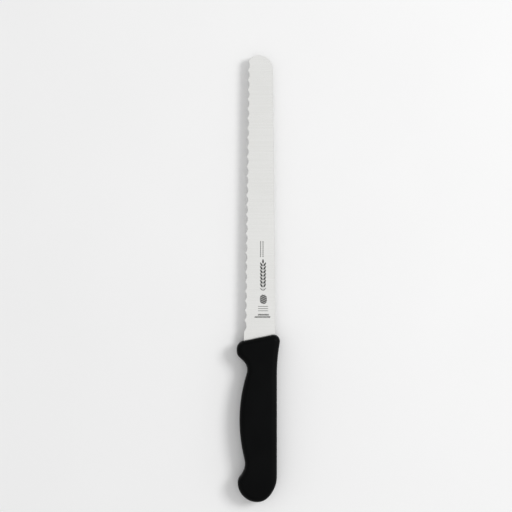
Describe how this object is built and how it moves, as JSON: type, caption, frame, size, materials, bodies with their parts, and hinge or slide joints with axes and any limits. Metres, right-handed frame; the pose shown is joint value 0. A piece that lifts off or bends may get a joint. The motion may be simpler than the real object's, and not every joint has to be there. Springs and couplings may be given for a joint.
{
  "type": "bread knife",
  "caption": "Long bread knife with a scalloped, blunt-tipped stainless blade and a black moulded handle with a finger guard and hooked butt.",
  "frame": {"origin": "middle of the knife's length and width, on the plane of the handle's plain side", "axes": "+Y from the handle to the tip, -X towards the cutting edge, +X towards the spine, +Z out of the blade's marked face"},
  "size_m": [0.0373, 0.385, 0.018],
  "materials": {
    "blade_steel": "satin",
    "handle_plastic": "matte, fine moulded texture"
  },
  "bodies": {
    "root": {"blade": "blade_steel", "handle": "handle_plastic"}
  },
  "joints": []
}
